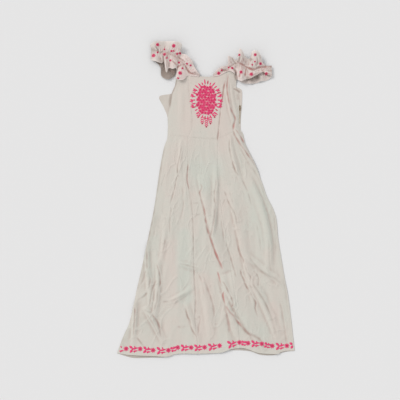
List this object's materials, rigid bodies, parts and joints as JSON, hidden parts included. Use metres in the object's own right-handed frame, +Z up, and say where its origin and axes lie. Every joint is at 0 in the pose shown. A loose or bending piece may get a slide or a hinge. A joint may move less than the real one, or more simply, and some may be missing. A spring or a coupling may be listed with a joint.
{
  "type": "off-shoulder ruffle-sleeve midi dress laid flat",
  "caption": "Midi dress laid flat face up: fitted bodice, gored A-line skirt, gathered ruffle sleeves, side zip with a turning pull tab.",
  "frame": {"origin": "centre of the dress's outline on the floor that it lies on", "axes": "+Y from hem to neck, +X to the right as seen from above (the wearer's left), +Z up from the floor"},
  "size_m": [0.781, 1.393, 0.036],
  "materials": {
    "ivory_cotton": "plain-woven ivory cotton, slightly blushed, matt",
    "ruffle_cotton": "the same cotton with embroidered dots, matt",
    "zip_tape": "woven polyester tape, beige",
    "aged_brass": "dark aged brass, satin"
  },
  "bodies": {
    "dress": {"bodice_front_centre": "ivory_cotton", "bodice_side_front_left": "ivory_cotton", "bodice_side_front_right": "ivory_cotton", "bodice_back": "ivory_cotton", "skirt_front_left": "ivory_cotton", "skirt_front_centre": "ivory_cotton", "skirt_front_right": "ivory_cotton", "skirt_back": "ivory_cotton", "sleeve_left_back_ruffle": "ruffle_cotton", "sleeve_right_back_ruffle": "ruffle_cotton", "sleeve_left_front_ruffle": "ruffle_cotton", "sleeve_right_front_ruffle": "ruffle_cotton", "zip_tape": "zip_tape", "zip_slider": "aged_brass"},
    "pull_tab": {"zip_pull": "aged_brass"}
  },
  "joints": [
    {"name": "pull_tab_turn", "type": "hinge", "parent": "dress", "child": "pull_tab", "pos_m": [0.1503, 0.41, 0.0054], "axis": [-1, 0, 0], "range_deg": [0, 150]}
  ]
}
